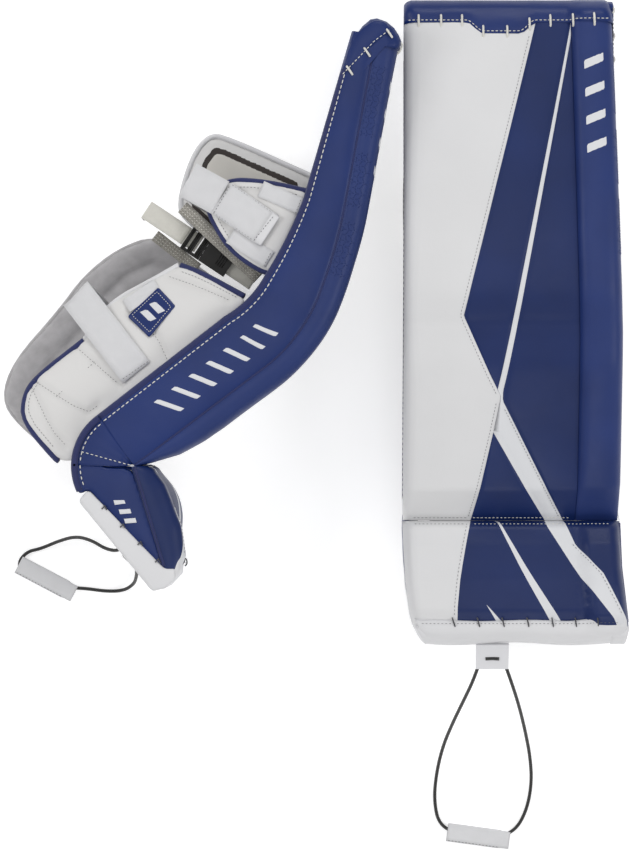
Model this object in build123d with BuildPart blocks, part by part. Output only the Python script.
from build123d import *

import os
from math import atan2, cos, degrees, hypot, pi, radians, sin, tan

# A pair of ice hockey goalie leg pads, lying as they are put down on a floor.
#
# Every piece is drawn once, as it sits on the right pad. That pad lies on its inner side, so its profile
# lies in the XY plane and its width runs along Z, from 0 at the inner side to PAD_WIDTH at the outer
# side. The left pad is the mirror image. It lies on its back, face up, and is flexed straighter at the
# knee and at the boot.
#
# A place on the profile is given as (s, n): s is the distance along the spine, which is the seam between
# the side panel and the face, counted up from the boot crease, and n is the distance in front of that
# seam. Places on the boot use (b, n), with b counted down from the crease. The crease is the point (0, 0)
# while drawing.

# Driving dimensions, in millimetres and degrees.
PAD_WIDTH = 279.0
SHIN_LEAN = 53.0
SHIN_RUN = 205.0
KNEE_TURN, KNEE_RADIUS = 31.0, 205.0
THIGH_TURN, THIGH_RADIUS = 11.5, 600.0
THIGH_RUN = 232.0
BOOT_LEAN = -16.5
FACE_DEPTH, ROLL_RISE, ROLL_WIDTH = 18.0, 12.0, 56.0
SKIN = 3.0
SLAB = 36.0
WALL = 30.0
GAP = 0.5

# How the pads lie. RIGHT_CREASE and LEFT_CREASE are where each boot crease is, and flexes are anticlockwise.
RIGHT_CREASE = (-231.0, -45.0)
LEFT_CREASE = (108.5, -116.5, 115.5)
LEFT_KNEE_FLEX, LEFT_BOOT_FLEX = -15.0, -40.0
LEFT_SHIN_RISE = 20.0

# Stations along the spine.
S_KNEE = SHIN_RUN
S_THIGH = S_KNEE + KNEE_RADIUS * radians(KNEE_TURN)
S_UPPER = S_THIGH + THIGH_RADIUS * radians(THIGH_TURN)
S_TOP = S_UPPER + THIGH_RUN
S_AXIS = S_KNEE + 55.0
DEPTHS = ((0.0, 76.0), (S_KNEE, 79.0), (S_THIGH, 70.0), (S_UPPER, 50.0), (S_TOP, 27.0))


def depth(s):
    """How far the pad's back edge is behind the spine at station s."""
    for (s0, d0), (s1, d1) in zip(DEPTHS, DEPTHS[1:]):
        if s <= s1:
            return d0 + (d1 - d0) * (s - s0) / (s1 - s0)
    return DEPTHS[-1][1]


def lean(s):
    """The spine's lean from the Y axis at station s, in degrees."""
    knee = min(max((s - S_KNEE) / (S_THIGH - S_KNEE), 0), 1)
    thigh = min(max((s - S_THIGH) / (S_UPPER - S_THIGH), 0), 1)
    return SHIN_LEAN - knee * KNEE_TURN - thigh * THIGH_TURN


def step(start, s_from, s_to, radius):
    """The point a stretch of spine further on, along a straight (radius None) or an arc."""
    a, b = radians(lean(s_from)), radians(lean(s_to))
    if radius is None:
        return start[0] + (s_to - s_from) * sin(a), start[1] + (s_to - s_from) * cos(a)
    return start[0] + radius * (cos(b) - cos(a)), start[1] + radius * (sin(a) - sin(b))


def spine(s):
    """The point of the spine at station s."""
    point = step((0, 0), 0, min(s, S_KNEE), None)
    if s > S_KNEE:
        point = step(point, S_KNEE, min(s, S_THIGH), KNEE_RADIUS)
    if s > S_THIGH:
        point = step(point, S_THIGH, min(s, S_UPPER), THIGH_RADIUS)
    if s > S_UPPER:
        point = step(point, S_UPPER, s, None)
    return point


def at(s, n):
    """The point of the profile at station s, n in front of the spine."""
    u, v = spine(s)
    a = radians(lean(s))
    return u + n * cos(a), v - n * sin(a)


def boot_at(b, n):
    """The point of the boot's profile b below the crease, n in front of its seam."""
    a = radians(BOOT_LEAN)
    return -b * sin(a) + n * cos(a), -b * cos(a) - n * sin(a)


KNEE_AXIS = at(S_AXIS, FACE_DEPTH)
BOOT_AXIS = (0.0, 0.0)


def rail(s_from, s_to, n):
    """Draws the line n in front of the spine, from one station to another, in the open BuildLine."""
    knots = [s_from, *[s for s in (S_KNEE, S_THIGH, S_UPPER) if s_from < s < s_to], s_to]
    for s0, s1 in zip(knots, knots[1:]):
        if abs(lean(s0) - lean(s1)) < 1e-6:
            Line(at(s0, n), at(s1, n))
        else:
            ThreePointArc(at(s0, n), at((s0 + s1) / 2, n), at(s1, n))


def back_edge(s_from, s_to, inset=0.0):
    """Draws the pad's back edge between two stations, as a smooth curve."""
    steps = 5
    stations = [s_from + (s_to - s_from) * i / steps for i in range(steps + 1)]
    Spline([at(s, inset - depth(s)) for s in stations])


def slab(s_from, s_to, n_back, n_front, w_from, w_to):
    """A slab of the profile with parallel faces, from w_from to w_to across the pad."""
    with BuildPart() as piece:
        with BuildSketch(Plane.XY.offset(w_from)):
            with BuildLine():
                rail(s_from, s_to, n_front)
                rail(s_from, s_to, n_back)
                Line(at(s_from, n_front), at(s_from, n_back))
                Line(at(s_to, n_front), at(s_to, n_back))
            make_face()
        extrude(amount=w_to - w_from)
    return piece.part


def deep_slab(s_from, s_to, n_front, w_from, w_to):
    """A slab of the profile that reaches back to the pad's back edge."""
    with BuildPart() as piece:
        with BuildSketch(Plane.XY.offset(w_from)):
            with BuildLine():
                rail(s_from, s_to, n_front)
                back_edge(s_from, s_to)
                Line(at(s_from, n_front), at(s_from, -depth(s_from)))
                Line(at(s_to, n_front), at(s_to, -depth(s_to)))
            make_face()
        extrude(amount=w_to - w_from)
    return piece.part


def plate(points, w_from, w_to, rounding=0.0):
    """A flat plate with a polygon outline, whose corners are rounded."""
    with BuildPart() as piece:
        with BuildSketch(Plane.XY.offset(w_from)) as outline:
            Polygon(*points, align=None)
            if rounding:
                fillet(outline.vertices(), rounding)
        extrude(amount=w_to - w_from)
    return piece.part


def turned(point, about, angle):
    """A point turned about another, anticlockwise, in degrees."""
    a = radians(angle)
    du, dv = point[0] - about[0], point[1] - about[1]
    return about[0] + du * cos(a) - dv * sin(a), about[1] + du * sin(a) + dv * cos(a)


# The knee flexes about a line in the face. Behind it the thigh and shin part by KNEE_BACK degrees, which
# is the room to bend further, and in front of it by KNEE_FRONT, which is the room to straighten.
KNEE_BACK, KNEE_FRONT = 5.0, 18.0
FAR = 900.0


def knee_zone(sign):
    """A prism over everything above (sign 1) or below (sign -1) the knee's two cuts."""
    behind = at(S_AXIS, -FAR / 3)
    before = at(S_AXIS, FAR / 3)
    away = at(S_AXIS + sign * GAP, FACE_DEPTH)
    beyond = at(S_AXIS + sign * FAR / 2, 0)
    back = turned(behind, KNEE_AXIS, -sign * KNEE_BACK / 2)
    front = turned(before, KNEE_AXIS, sign * KNEE_FRONT / 2)
    shift = (beyond[0] - KNEE_AXIS[0], beyond[1] - KNEE_AXIS[1])
    corners = [
        away,
        back,
        (back[0] + 2 * shift[0], back[1] + 2 * shift[1]),
        (front[0] + 2 * shift[0], front[1] + 2 * shift[1]),
        front,
    ]
    return plate(corners, -50, PAD_WIDTH + 50)


# Thigh pieces.
TOP_SEAM = ((596.0, -29.0), (S_TOP - 8, 0.0))


def above_seam():
    """A prism over everything beyond the cap's seam, to trim the core and side panels with."""
    (s0, n0), (s1, n1) = TOP_SEAM
    slope = (n1 - n0) / (s1 - s0)
    low, high = (s0 - 60, n0 - 60 * slope), (s1 + 60, n1 + 60 * slope)
    corners = [at(*low), at(*high), at(high[0] + 80, high[1]), at(high[0] + 80, -120), at(low[0], -120)]
    return plate(corners, -10, PAD_WIDTH + 10)


def thigh_core():
    """The thigh's foam slab, with a side bolster down each edge at the knee."""
    bolster_top = S_UPPER + 30
    with BuildPart() as core:
        add(slab(S_AXIS, S_TOP, -27, 0, SKIN, PAD_WIDTH - SKIN))
        for w in (SKIN, PAD_WIDTH - SKIN - WALL):
            add(deep_slab(S_AXIS, bolster_top, -26, w, w + WALL))
        add(knee_zone(1), mode=Mode.INTERSECT)
        add(above_seam(), mode=Mode.SUBTRACT)
        add(board_blank(GAP), mode=Mode.SUBTRACT)
    return core.part


def board_blank(clearance):
    """The thigh board's block, or the pocket for it, which is open at the top."""
    length = 40 if clearance else 0
    return slab(
        S_AXIS + 60 - clearance,
        S_TOP - 40 + length,
        -14 - clearance,
        -11 + clearance,
        34 - clearance,
        PAD_WIDTH - 34 + clearance,
    )


def thigh_board():
    """The stiff plastic sheet in the thigh's foam."""
    with BuildPart() as board:
        add(board_blank(0))
    return board.part


def thigh_face():
    """The face layer over the thigh."""
    with BuildPart() as face:
        add(slab(S_AXIS, S_TOP - 6, 0, FACE_DEPTH, 0, PAD_WIDTH))
        add(knee_zone(1), mode=Mode.INTERSECT)
    return face.part


def thigh_roll():
    """The raised roll down the outer edge of the thigh's face."""
    with BuildPart() as roll:
        add(slab(S_AXIS, S_TOP - 26, FACE_DEPTH, FACE_DEPTH + ROLL_RISE, PAD_WIDTH - ROLL_WIDTH, PAD_WIDTH))
        add(knee_zone(1), mode=Mode.INTERSECT)
    return roll.part


def thigh_sides():
    """The two side panels of the thigh, one on each side of the core."""
    with BuildPart() as sides:
        for w in (0, PAD_WIDTH - SKIN):
            add(deep_slab(S_AXIS, S_TOP, 0, w, w + SKIN))
        add(knee_zone(1), mode=Mode.INTERSECT)
        add(above_seam(), mode=Mode.SUBTRACT)
    return sides.part


def top_cap():
    """The padded binding that closes the thigh's top, with a lip over the face."""
    corners = [
        (597, -29.5),
        (625, -31),
        (657, -22),
        (S_TOP + 7, -7),
        (S_TOP + 3, 10),
        (S_TOP - 5, 21),
        (S_TOP - 25, 21),
        (S_TOP - 25, FACE_DEPTH),
        (S_TOP - 6, FACE_DEPTH),
        (S_TOP - 6, 0.9),
        (S_TOP - 8, 0),
    ]
    with BuildPart() as cap:
        with BuildSketch():
            Polygon(*[at(s, n) for s, n in corners], align=None)
        extrude(amount=PAD_WIDTH)
        outer = PAD_WIDTH - ROLL_WIDTH
        add(slab(S_TOP - 26, S_TOP - 6, FACE_DEPTH, FACE_DEPTH + ROLL_RISE, outer, PAD_WIDTH))
        add(thigh_face(), mode=Mode.SUBTRACT)
    return cap.part


# Shin pieces.
TAPER = 54.0


def shin_core():
    """The shin's foam: a slab with a bolster down each side, which make the leg channel."""
    with BuildPart() as core:
        add(slab(GAP, S_AXIS + 30, -SLAB, 0, SKIN, PAD_WIDTH - SKIN))
        for w in (SKIN, PAD_WIDTH - SKIN - WALL):
            add(deep_slab(GAP, S_AXIS + 30, -SLAB + 1, w, w + WALL))
        add(knee_zone(-1), mode=Mode.INTERSECT)
        add(ankle_corner(), mode=Mode.SUBTRACT)
    return core.part


def ankle_corner():
    """What rounds off the back corner of the shin's lower end."""
    radius = 34.0
    with BuildPart() as corner:
        with BuildSketch(Plane.XY.offset(-5)):
            with BuildLine():
                Line(at(-8, -90), at(-8, -76 + radius))
                Line(at(-8, -76 + radius), at(0, -76 + radius))
                ThreePointArc(
                    at(0, -76 + radius),
                    at(radius * (1 - cos(radians(45))), -76 + radius * (1 - sin(radians(45)))),
                    at(radius, -76),
                )
                Line(at(radius, -76), at(radius, -90))
                Line(at(radius, -90), at(-8, -90))
            make_face()
        extrude(amount=PAD_WIDTH + 10)
    return corner.part


def shin_face():
    """The face layer over the shin, which tapers down to the boot crease."""
    wedge = [at(-5, -1), at(GAP, 0), at(TAPER, FACE_DEPTH), at(TAPER, FACE_DEPTH + 40), at(-40, 40)]
    with BuildPart() as face:
        add(slab(GAP, S_AXIS + 30, 0, FACE_DEPTH, 0, PAD_WIDTH))
        add(knee_zone(-1), mode=Mode.INTERSECT)
        add(plate(wedge, -5, PAD_WIDTH + 5), mode=Mode.SUBTRACT)
    return face.part


def shin_roll():
    """The raised roll down the outer edge of the shin's face."""
    top = FACE_DEPTH + ROLL_RISE
    wedge = [at(40, FACE_DEPTH - 1), at(TAPER, FACE_DEPTH - 1), at(TAPER + 30, top + 1), at(40, top + 1)]
    with BuildPart() as roll:
        add(slab(TAPER, S_AXIS + 30, FACE_DEPTH, top, PAD_WIDTH - ROLL_WIDTH, PAD_WIDTH))
        add(knee_zone(-1), mode=Mode.INTERSECT)
        add(plate(wedge, 200, PAD_WIDTH + 5), mode=Mode.SUBTRACT)
    return roll.part


def shin_sides():
    """The two side panels of the shin."""
    with BuildPart() as sides:
        for w in (0, PAD_WIDTH - SKIN):
            add(deep_slab(GAP, S_AXIS + 30, 0, w, w + SKIN))
        add(knee_zone(-1), mode=Mode.INTERSECT)
        add(ankle_corner(), mode=Mode.SUBTRACT)
    return sides.part


def channel_liner():
    """The padded liner on the back of the shin's slab, where the leg lies."""
    with BuildPart() as liner:
        add(slab(8, S_AXIS - 12, -SLAB - 10, -SLAB, SKIN + WALL + 1, PAD_WIDTH - SKIN - WALL - 1))
    return liner.part


def ankle_gusset(boot_flex):
    """The soft fan in each side wall between the shin's end and the boot, which folds as the boot flexes."""
    radius, inner = 62.0, 9.0
    shin_cut = degrees(atan2(*reversed(at(0, -1)))) + 1.5
    boot_cut = 176.7 + boot_flex - 1.5
    middle = (shin_cut + boot_cut) / 2

    def polar(r, angle):
        return r * cos(radians(angle)), r * sin(radians(angle))

    with BuildPart() as gusset:
        with BuildSketch(Plane.XY.offset(1.0)):
            with BuildLine():
                Line(polar(inner, shin_cut), polar(radius, shin_cut))
                ThreePointArc(polar(radius, shin_cut), polar(radius, middle), polar(radius, boot_cut))
                Line(polar(radius, boot_cut), polar(inner, boot_cut))
                ThreePointArc(polar(inner, boot_cut), polar(inner, middle), polar(inner, shin_cut))
            make_face()
        extrude(amount=10)
        mirror(about=Plane.XY.offset(PAD_WIDTH / 2))
    return gusset.part


# Boot pieces.
HEEL, TOE_BACK, TOE_MID, TOE_FRONT = (-67.5, -42.0), (25.0, -155.5), (41.0, -151.0), (54.0, -139.5)
BIND_HEEL = (-55.0, -31.0)
BOOT_WALL = 22.0


def boot_core():
    """The boot's foam: a front slab and a side wall each side of the skate's space."""
    heel = [(-63.0, 0.5), (-74.5, -10.0), (-73.5, -26.0), BIND_HEEL]
    wall = [(-2.0, -3.0), *heel, boot_at(136, -3), boot_at(128, 0)]
    front = [boot_at(4, 0), boot_at(10, -22), boot_at(112, -22), boot_at(127, -10), boot_at(128, 0)]
    with BuildPart() as core:
        add(plate(front, SKIN, PAD_WIDTH - SKIN))
        for w in (0, PAD_WIDTH - BOOT_WALL):
            add(plate(wall, w, w + BOOT_WALL))
        add(toe_binding(), mode=Mode.SUBTRACT)
    return core.part


def boot_face():
    """The face layer over the boot, which swells away from the crease and rounds off at the toe."""
    front = [boot_at(2, 0.5), boot_at(36, 22), boot_at(80, 24), boot_at(118, 21), boot_at(131, 12)]
    with BuildPart() as face:
        add(plate([*front, boot_at(128, 0), boot_at(3, 0)], 0, PAD_WIDTH))
    return face.part


def boot_roll():
    """The roll at the outer edge of the boot's face."""
    corners = [boot_at(36, 22), boot_at(48, 31), boot_at(90, 35), boot_at(124, 30), boot_at(131, 12)]
    under = [boot_at(118, 21), boot_at(80, 24)]
    with BuildPart() as roll:
        add(plate([*corners, *under], PAD_WIDTH - ROLL_WIDTH, PAD_WIDTH))
    return roll.part


def toe_binding():
    """The binding round the boot's bottom edge: a strip on each side wall and a bar across the toe."""
    strip = [HEEL, TOE_BACK, TOE_MID, boot_at(137, -3), BIND_HEEL]
    bar = [TOE_BACK, TOE_MID, TOE_FRONT, boot_at(132, 12), boot_at(129, 0), boot_at(128.5, -10), (14, -142)]
    with BuildPart() as binding:
        for w in (0, PAD_WIDTH - BOOT_WALL):
            add(plate(strip, w, w + BOOT_WALL))
        add(plate(bar, 0, PAD_WIDTH))
    return binding.part


# The toe tie: a leather tab, an elastic cord and the hook-and-loop sleeve on it.
TAB_MIDDLE, TAB_WIDTH, TAB_THICK = 115.0, 42.0, 8.0
CORD = 4.5
SLEEVE = (82.0, 25.0, 9.0)
RIGHT_TAB = (boot_at(88, -22.3), (-0.8, -0.6), 15.0)
LEFT_TAB = (turned((34.0, -154.0), BOOT_AXIS, LEFT_BOOT_FLEX), (-0.88, -0.475), 36.0)


def toe_tab(tab):
    """The tab that the cord leaves from. tab gives the middle of its root, its direction and its length."""
    (u, v), (du, dv), length = tab
    nu, nv = -dv * TAB_THICK / 2, du * TAB_THICK / 2
    corners = [
        (u + nu, v + nv),
        (u + nu + du * length, v + nv + dv * length),
        (u - nu + du * length, v - nv + dv * length),
        (u - nu, v - nv),
    ]
    return plate(corners, TAB_MIDDLE - TAB_WIDTH / 2, TAB_MIDDLE + TAB_WIDTH / 2)


# Wings, knee stack, straps and buckle. Each outline lies in the profile's plane.
KNEE_STACK = [
    (226.0, 366.0),
    (112.0, 410.0),
    (94.0, 403.0),
    (52.0, 333.0),
    (60.0, 316.0),
    (150.0, 243.0),
    (176.0, 262.0),
]
KNEE_STACK_LOW, KNEE_STACK_WIDTH = 4.0, 58.0
KNEE_WING = [
    (214.0, 347.0),
    (184.0, 353.0),
    (149.0, 359.0),
    (120.0, 360.0),
    (95.0, 347.0),
    (91.0, 322.0),
    (105.0, 295.0),
    (122.0, 271.0),
    (152.0, 249.0),
    (167.0, 243.0),
]
KNEE_WING_HINGE = ((216.0, 346.0), (168.0, 240.0))
CALF_WING = [
    (139.0, 212.0),
    (84.0, 243.0),
    (54.0, 255.0),
    (26.0, 239.0),
    (-36.0, 207.0),
    (-66.0, 160.0),
    (-127.0, 113.0),
    (-141.0, 90.0),
    (-142.0, 58.0),
    (-98.0, 8.0),
    (-84.0, 11.0),
]
CALF_WING_HINGE = ((141.0, 213.0), (-82.0, 9.0))
INNER_WING = [
    (128.0, 216.0),
    (60.0, 262.0),
    (24.0, 288.0),
    (-20.0, 268.0),
    (-62.0, 234.0),
    (-90.0, 193.0),
    (-145.0, 130.0),
    (-160.0, 84.0),
    (-142.0, 54.0),
    (-102.0, 8.0),
    (-84.0, 11.0),
]
WING_THICK, INNER_THICK = 8.0, 16.0
KNEE_WING_W, CALF_WING_W, INNER_WING_W = 246.0, 250.0, 22.0
KNEE_WING_TILT, RIGHT_WING_TILTS, LEFT_WING_TILTS = 12.0, (16.0, -10.0), (69.0, -88.0)
KNEE_STRAP = ((54.0, 340.5), (77.0, 381.5), (121.0, 357.5), (98.0, 317.0))
KNEE_STRAP_END = ((98.6, 317.0), (121.6, 357.5), (184.0, 312.0), (160.0, 275.0))
CALF_STRAP = ((-90.0, 204.0), (-64.0, 235.0), (26.0, 129.0), (-16.0, 101.0))
STRAP_THICK = 3.0
WING_GAP = 3.0


def clear_of_pad(piece, s_from, s_to):
    """A piece cut back so that it starts WING_GAP behind the pad's back edge."""
    with BuildPart() as kept:
        add(piece)
        with BuildSketch(Plane.XY.offset(-FAR)):
            with BuildLine():
                rail(s_from, s_to, FACE_DEPTH)
                back_edge(s_from, s_to, -WING_GAP)
                Line(at(s_from, FACE_DEPTH), at(s_from, -WING_GAP - depth(s_from)))
                Line(at(s_to, FACE_DEPTH), at(s_to, -WING_GAP - depth(s_to)))
            make_face()
        extrude(amount=2 * FAR, mode=Mode.SUBTRACT)
    return kept.part


def tilted(piece, hinge, w, angle):
    """A piece leaned over about a hinge line at width w. A positive angle leans it inwards."""
    (u0, v0), (u1, v1) = hinge
    return piece.rotate(Axis((u0, v0, w), (u1 - u0, v1 - v0, 0)), angle)


def dropped(edge, hinge, w, angle, height, bottom):
    """The end of a strap, which turns down at the back edge of a wing and hangs to bottom."""
    (u0, v0), (u1, v1) = hinge
    run = hypot(u1 - u0, v1 - v0)
    back = ((v0 - v1) / run, (u1 - u0) / run)
    if back[0] > 0:
        back = (-back[0], -back[1])
    near, far, tops = [], [], []
    for u, v in edge:
        reach = (u - u0) * back[0] + (v - v0) * back[1]
        moved = reach * cos(radians(angle)) - height * sin(radians(angle)) - reach
        near.append((u + (moved - STRAP_THICK) * back[0], v + (moved - STRAP_THICK) * back[1]))
        far.append((u + moved * back[0], v + moved * back[1]))
        tops.append(w + height * cos(radians(angle)) - reach * sin(radians(angle)))
    return plate([*near, *reversed(far)], bottom, max(tops))


def knee_stack():
    """The block that the knee lands on, standing behind the thigh's inner edge."""
    with BuildPart() as stack:
        with BuildSketch(Plane.XY.offset(KNEE_STACK_LOW)) as outline:
            Polygon(*KNEE_STACK, align=None)
            fillet(outline.vertices().group_by(Axis.X)[0] + outline.vertices().group_by(Axis.Y)[-1], 12)
        extrude(amount=KNEE_STACK_WIDTH)
        fillet(stack.faces().sort_by(Axis.Z)[-1].edges(), 6)
    return clear_of_pad(stack.part, S_AXIS + 5, S_UPPER + 60)


def knee_wing():
    """The outer knee wing, a padded panel hinged on the thigh's back edge."""
    wing = plate(KNEE_WING, KNEE_WING_W, KNEE_WING_W + WING_THICK)
    return clear_of_pad(tilted(wing, KNEE_WING_HINGE, KNEE_WING_W, KNEE_WING_TILT), S_AXIS - 20, S_UPPER + 60)


def knee_strap():
    """The wide strap on the knee wing, which turns down at the back towards the knee stack."""
    low = KNEE_WING_W + WING_THICK + GAP
    lie = (KNEE_WING_HINGE, KNEE_WING_W, KNEE_WING_TILT)
    with BuildPart() as strap:
        add(tilted(plate(KNEE_STRAP, low, low + STRAP_THICK), *lie))
        add(dropped(KNEE_STRAP[:2], *lie, low + STRAP_THICK - KNEE_WING_W, KNEE_STACK_WIDTH + 12))
    return strap.part


def knee_strap_end():
    """The strap's free end, stuck down on the knee wing, with its pull tab."""
    low = KNEE_WING_W + WING_THICK + GAP
    a, b, c, d = KNEE_STRAP_END
    pull = [(c[0] - 16, c[1] + 11.7), (c[0] + 1, c[1] - 0.5)]
    pull += [(d[0] + 1, d[1] - 0.6), (d[0] - 14, d[1] + 10.3)]
    with BuildPart() as end:
        add(plate([a, b, c, d], low, low + STRAP_THICK))
        add(plate(pull, low + STRAP_THICK, low + STRAP_THICK + 2.5))
    return tilted(end.part, KNEE_WING_HINGE, KNEE_WING_W, KNEE_WING_TILT)


def calf_wing(tilt):
    """The outer calf wing, a padded panel hinged on the shin's back edge."""
    wing = plate(CALF_WING, CALF_WING_W, CALF_WING_W + WING_THICK)
    return clear_of_pad(tilted(wing, CALF_WING_HINGE, CALF_WING_W, tilt), -80, S_AXIS + 20)


def calf_strap(tilt, drop):
    """The strap over the calf wing. If it drops, it turns down at the back towards the inner wing."""
    low = CALF_WING_W + WING_THICK + GAP
    lie = (CALF_WING_HINGE, CALF_WING_W, tilt)
    with BuildPart() as strap:
        add(tilted(plate(CALF_STRAP, low, low + STRAP_THICK), *lie))
        if drop:
            add(dropped(CALF_STRAP[:2], *lie, low + STRAP_THICK - CALF_WING_W, 96))
    return strap.part


def inner_calf_wing(tilt):
    """The thick padded inner calf wing."""
    wing = plate(INNER_WING, INNER_WING_W, INNER_WING_W + INNER_THICK)
    wing = tilted(wing, CALF_WING_HINGE, INNER_WING_W + INNER_THICK, tilt)
    return clear_of_pad(wing, -80, S_AXIS + 20)


# The buckle lies along a line from its anchor at the thigh's back edge to the strap's fold.
BUCKLE_FOOT, BUCKLE_FOLD = (152.0, 232.0), (14.0, 324.0)
BUCKLE_LENGTH = hypot(BUCKLE_FOLD[0] - BUCKLE_FOOT[0], BUCKLE_FOLD[1] - BUCKLE_FOOT[1])
BUCKLE_DIRECTION = (
    (BUCKLE_FOLD[0] - BUCKLE_FOOT[0]) / BUCKLE_LENGTH,
    (BUCKLE_FOLD[1] - BUCKLE_FOOT[1]) / BUCKLE_LENGTH,
)
WEBBING_WIDTH, WEBBING_THICK, WEBBING_W = 25.0, 2.0, 200.0
SOCKET = (38.0, 76.0)
PLUG = (76.6, 104.0)


def along_buckle(distance, across):
    """A point along the buckle's line, and across it."""
    du, dv = BUCKLE_DIRECTION
    return BUCKLE_FOOT[0] + distance * du + across * dv, BUCKLE_FOOT[1] + distance * dv - across * du


def buckle_bar(start, end, half, w_from, w_to):
    """A straight bar along the buckle's line."""
    corners = [
        along_buckle(start, -half),
        along_buckle(end, -half),
        along_buckle(end, half),
        along_buckle(start, half),
    ]
    return plate(corners, w_from, w_to)


def buckle_anchor():
    """The short webbing that holds the buckle's socket to the pad."""
    with BuildPart() as anchor:
        add(buckle_bar(0, SOCKET[0] + 6, WEBBING_WIDTH / 2, WEBBING_W, WEBBING_W + WEBBING_THICK))
    return anchor.part


def buckle_socket():
    """The side-release buckle's socket: a hollow body, open at its mouth and at its two side windows."""
    start, end = SOCKET
    low, high = WEBBING_W - 5, WEBBING_W + 8
    with BuildPart() as socket:
        add(buckle_bar(start, end, 17, low, high))
        slot = buckle_bar(start - 1, start + 6.5, 13, WEBBING_W - 0.2, WEBBING_W + WEBBING_THICK + 0.2)
        add(slot, mode=Mode.SUBTRACT)
        add(buckle_bar(start + 14, end + 1, 14, low + 2, high - 2), mode=Mode.SUBTRACT)
        for side in (-1, 1):
            window = [
                along_buckle(start + 18, side * 13),
                along_buckle(start + 28, side * 13),
                along_buckle(start + 28, side * 18),
                along_buckle(start + 18, side * 18),
            ]
            add(plate(window, low + 2, high - 2), mode=Mode.SUBTRACT)
    return socket.part


def buckle_plug():
    """The buckle's plug: a bar for the webbing, a centre tongue and two spring prongs."""
    start, end = PLUG
    low, high = WEBBING_W - 5, WEBBING_W + 8
    with BuildPart() as plug:
        add(buckle_bar(start, end, 17, low, high))
        add(buckle_bar(start + 8, start + 12, 13, low - 1, high + 1), mode=Mode.SUBTRACT)
        add(buckle_bar(start + 18, start + 22, 13, low - 1, high + 1), mode=Mode.SUBTRACT)
        add(buckle_bar(start - 20, start, 2.5, low + 3, high - 3))
        for side in (-1, 1):
            prong = [
                along_buckle(start + 1, side * 7),
                along_buckle(start - 20, side * 9),
                along_buckle(start - 20, side * 13),
                along_buckle(start + 1, side * 11),
            ]
            add(plate(prong, low + 3, high - 3))
    return plug.part


def buckle_tail(length):
    """The webbing on the plug, which turns at length along the buckle's line and drops to the inner side."""
    with BuildPart() as tail:
        add(buckle_bar(PLUG[1], length, WEBBING_WIDTH / 2, WEBBING_W, WEBBING_W + WEBBING_THICK))
        add(buckle_bar(length, length + 2, WEBBING_WIDTH / 2, WEBBING_W - 80, WEBBING_W + WEBBING_THICK))
    return tail.part


# Where the two pads are put. Routes and places below are measured from each pad's boot crease, on the floor.
LEFT_FLEX = {"thigh": (KNEE_AXIS, LEFT_KNEE_FLEX), "boot": (BOOT_AXIS, LEFT_BOOT_FLEX), "shin": None}


def left_point(u, v, w, group="shin"):
    """Where a point of the drawing goes on the left pad."""
    if LEFT_FLEX[group]:
        u, v = turned((u, v), *LEFT_FLEX[group])
    a, rise = radians(SHIN_LEAN), radians(LEFT_SHIN_RISE)
    along, front = u * sin(a) + v * cos(a), u * cos(a) - v * sin(a)
    x, y, z = LEFT_CREASE
    return x + w, y + along * cos(rise) - front * sin(rise), z + along * sin(rise) + front * cos(rise)


def place_right(piece, group):
    """Puts a piece on the right pad, which is only moved from where it is drawn."""
    return Location((*RIGHT_CREASE, 0)) * piece


def place_left(piece, group):
    """Flexes a piece with its part of the pad, mirrors it and lays it on the left pad."""
    if LEFT_FLEX[group]:
        about, angle = LEFT_FLEX[group]
        piece = piece.rotate(Axis((*about, 0), (0, 0, 1)), angle)
    origin = Vector(*left_point(0, 0, 0))
    ahead = Vector(*left_point(1, 0, 0)) - origin
    inward = Vector(*left_point(0, 0, -1)) - origin
    return Plane(origin=origin, x_dir=ahead, z_dir=inward).location * piece.mirror(Plane.XY)


# The toe cords' routes, from one corner of the tab through the sleeve and back to its other corner.
RIGHT_CORD = [
    (-8.0, -99.3, 96.5),
    (-24.0, -111.3, 94.0),
    (-43.0, -109.0, 80.0),
    (-62.0, -98.0, 61.0),
    (-84.0, -93.0, 38.0),
    (-108.0, -100.0, 17.0),
    (-131.0, -110.0, 6.5),
    (-150.0, -114.0, 4.4),
    (-162.0, -130.0, 4.8),
    (-152.0, -148.0, 4.8),
    (-126.0, -151.0, 4.8),
    (-100.0, -161.0, 4.8),
    (-73.0, -162.0, 3.4),
    (-46.0, -166.0, 2.8),
    (-23.0, -165.0, 5.0),
    (-9.0, -156.0, 17.0),
    (-5.0, -145.0, 38.0),
    (-4.0, -136.0, 61.0),
    (-6.0, -129.0, 84.0),
    (-14.0, -121.5, 106.0),
    (-21.0, -112.0, 124.0),
    (-8.0, -99.3, 133.5),
]
RIGHT_SLEEVE = ((-160.0, -131.0), (-88.0, -169.0))
LEFT_CORD = [
    (96.5, -189.4, 113.0),
    (91.0, -206.0, 107.0),
    (80.0, -231.0, 88.0),
    (67.0, -261.0, 58.0),
    (54.0, -295.0, 29.0),
    (46.0, -332.0, 10.0),
    (43.0, -368.0, 3.4),
    (50.0, -401.0, 4.6),
    (80.0, -413.0, 4.8),
    (118.0, -418.0, 4.8),
    (148.0, -409.0, 4.6),
    (164.0, -382.0, 3.4),
    (171.0, -345.0, 6.0),
    (168.0, -308.0, 20.0),
    (160.0, -272.0, 47.0),
    (151.0, -239.0, 79.0),
    (140.0, -207.0, 107.0),
    (133.5, -189.4, 113.0),
]
LEFT_SLEEVE = ((60.5, -409.0), (141.5, -420.0))


def bend_radii(route):
    """The radius of a cord's bend at each corner of its route: as large as the two runs there allow."""
    runs = [Vector(*b) - Vector(*a) for a, b in zip(route, route[1:])]
    turns = [radians(a.get_angle(b)) for a, b in zip(runs, runs[1:])]
    return [0.45 * min(a.length, b.length) / tan(turn / 2) for a, b, turn in zip(runs, runs[1:], turns)]


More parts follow.
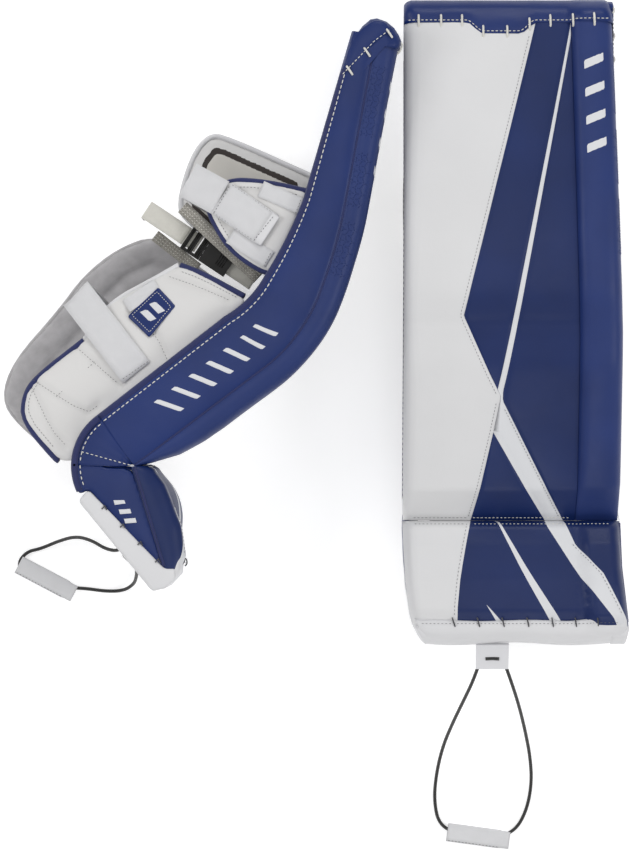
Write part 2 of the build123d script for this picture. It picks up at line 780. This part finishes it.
def toe_cord(route):
    """The elastic cord, as a plain tube."""
    with BuildPart() as tube:
        with BuildLine() as path:
            FilletPolyline(*route, radius=bend_radii(route))
        with BuildSketch(Plane(origin=path.line @ 0, z_dir=path.line % 0)):
            Circle(CORD / 2)
        sweep()
    length = path.wires()[0].length
    print("cord", round(length), "mm, volume ratio", round(tube.part.volume / (length * pi * CORD**2 / 4), 4))
    print("cord radii", [round(r, 1) for r in bend_radii(route)])
    return tube.part


def cord_sleeve(start, end):
    """The folded hook-and-loop sleeve, lying on the floor between two places on the cord."""
    length, width, thick = SLEEVE
    middle = ((start[0] + end[0]) / 2, (start[1] + end[1]) / 2, 0.3)
    with BuildPart() as sleeve:
        ahead = (end[0] - start[0], end[1] - start[1], 0)
        with BuildSketch(Plane(origin=middle, x_dir=ahead, z_dir=(0, 0, 1))):
            Rectangle(length, width)
        extrude(amount=thick)
    return sleeve.part


# The pieces of a pad, by the part of it that carries them.
PIECES = {
    "thigh": [
        thigh_core,
        thigh_board,
        thigh_face,
        thigh_roll,
        thigh_sides,
        top_cap,
        knee_stack,
        knee_wing,
        knee_strap,
        knee_strap_end,
        buckle_anchor,
        buckle_socket,
        buckle_plug,
    ],
    "shin": [
        shin_core,
        shin_face,
        shin_roll,
        shin_sides,
        channel_liner,
    ],
    "boot": [boot_core, boot_face, boot_roll, toe_binding],
}


def pad(side, place, boot_flex, wing_tilts, tab, cord_route, sleeve_ends, corner):
    """All the pieces of one pad by name, in place."""
    made = {}
    for group, pieces in PIECES.items():
        for piece in pieces:
            made[f"{side}_{piece.__name__}"] = place(piece(), group)
    outer_tilt, inner_tilt = wing_tilts
    made[f"{side}_calf_wing"] = place(calf_wing(outer_tilt), "shin")
    made[f"{side}_calf_strap"] = place(calf_strap(outer_tilt, side == "right"), "shin")
    made[f"{side}_inner_calf_wing"] = place(inner_calf_wing(inner_tilt), "shin")
    made[f"{side}_buckle_tail"] = place(buckle_tail(BUCKLE_LENGTH if side == "right" else 124.0), "thigh")
    made[f"{side}_ankle_gusset"] = place(ankle_gusset(boot_flex), "shin")
    with BuildPart() as root:
        add(place(toe_tab(tab), "shin"))
        add(made[f"{side}_toe_binding"], mode=Mode.SUBTRACT)
        add(made[f"{side}_boot_core"], mode=Mode.SUBTRACT)
    made[f"{side}_toe_tab"] = root.part
    floor = Location((corner[0], corner[1], 0))
    made[f"{side}_toe_cord"] = floor * toe_cord(cord_route)
    made[f"{side}_cord_sleeve"] = floor * cord_sleeve(*sleeve_ends)
    return made


PADS = {
    **pad(
        "right",
        place_right,
        0,
        RIGHT_WING_TILTS,
        RIGHT_TAB,
        RIGHT_CORD,
        RIGHT_SLEEVE,
        RIGHT_CREASE,
    ),
    **pad(
        "left",
        place_left,
        LEFT_BOOT_FLEX,
        LEFT_WING_TILTS,
        LEFT_TAB,
        LEFT_CORD,
        LEFT_SLEEVE,
        LEFT_CREASE,
    ),
}
# The origin is under the middle of the two pads, on the floor. The cords and sleeves don't count.
solid = [piece for name, piece in PADS.items() if "cord" not in name]
box = Compound(children=[Part(piece.wrapped) for piece in solid]).bounding_box()
centre = Location((-(box.min.X + box.max.X) / 2, -(box.min.Y + box.max.Y) / 2, 0))
print("size without the cords", box.size)

os.makedirs("parts", exist_ok=True)
for name, piece in PADS.items():
    with BuildPart() as placed:
        add(centre * piece)
    placed.part.label = name
    export_step(placed.part, f"parts/{name}.step")
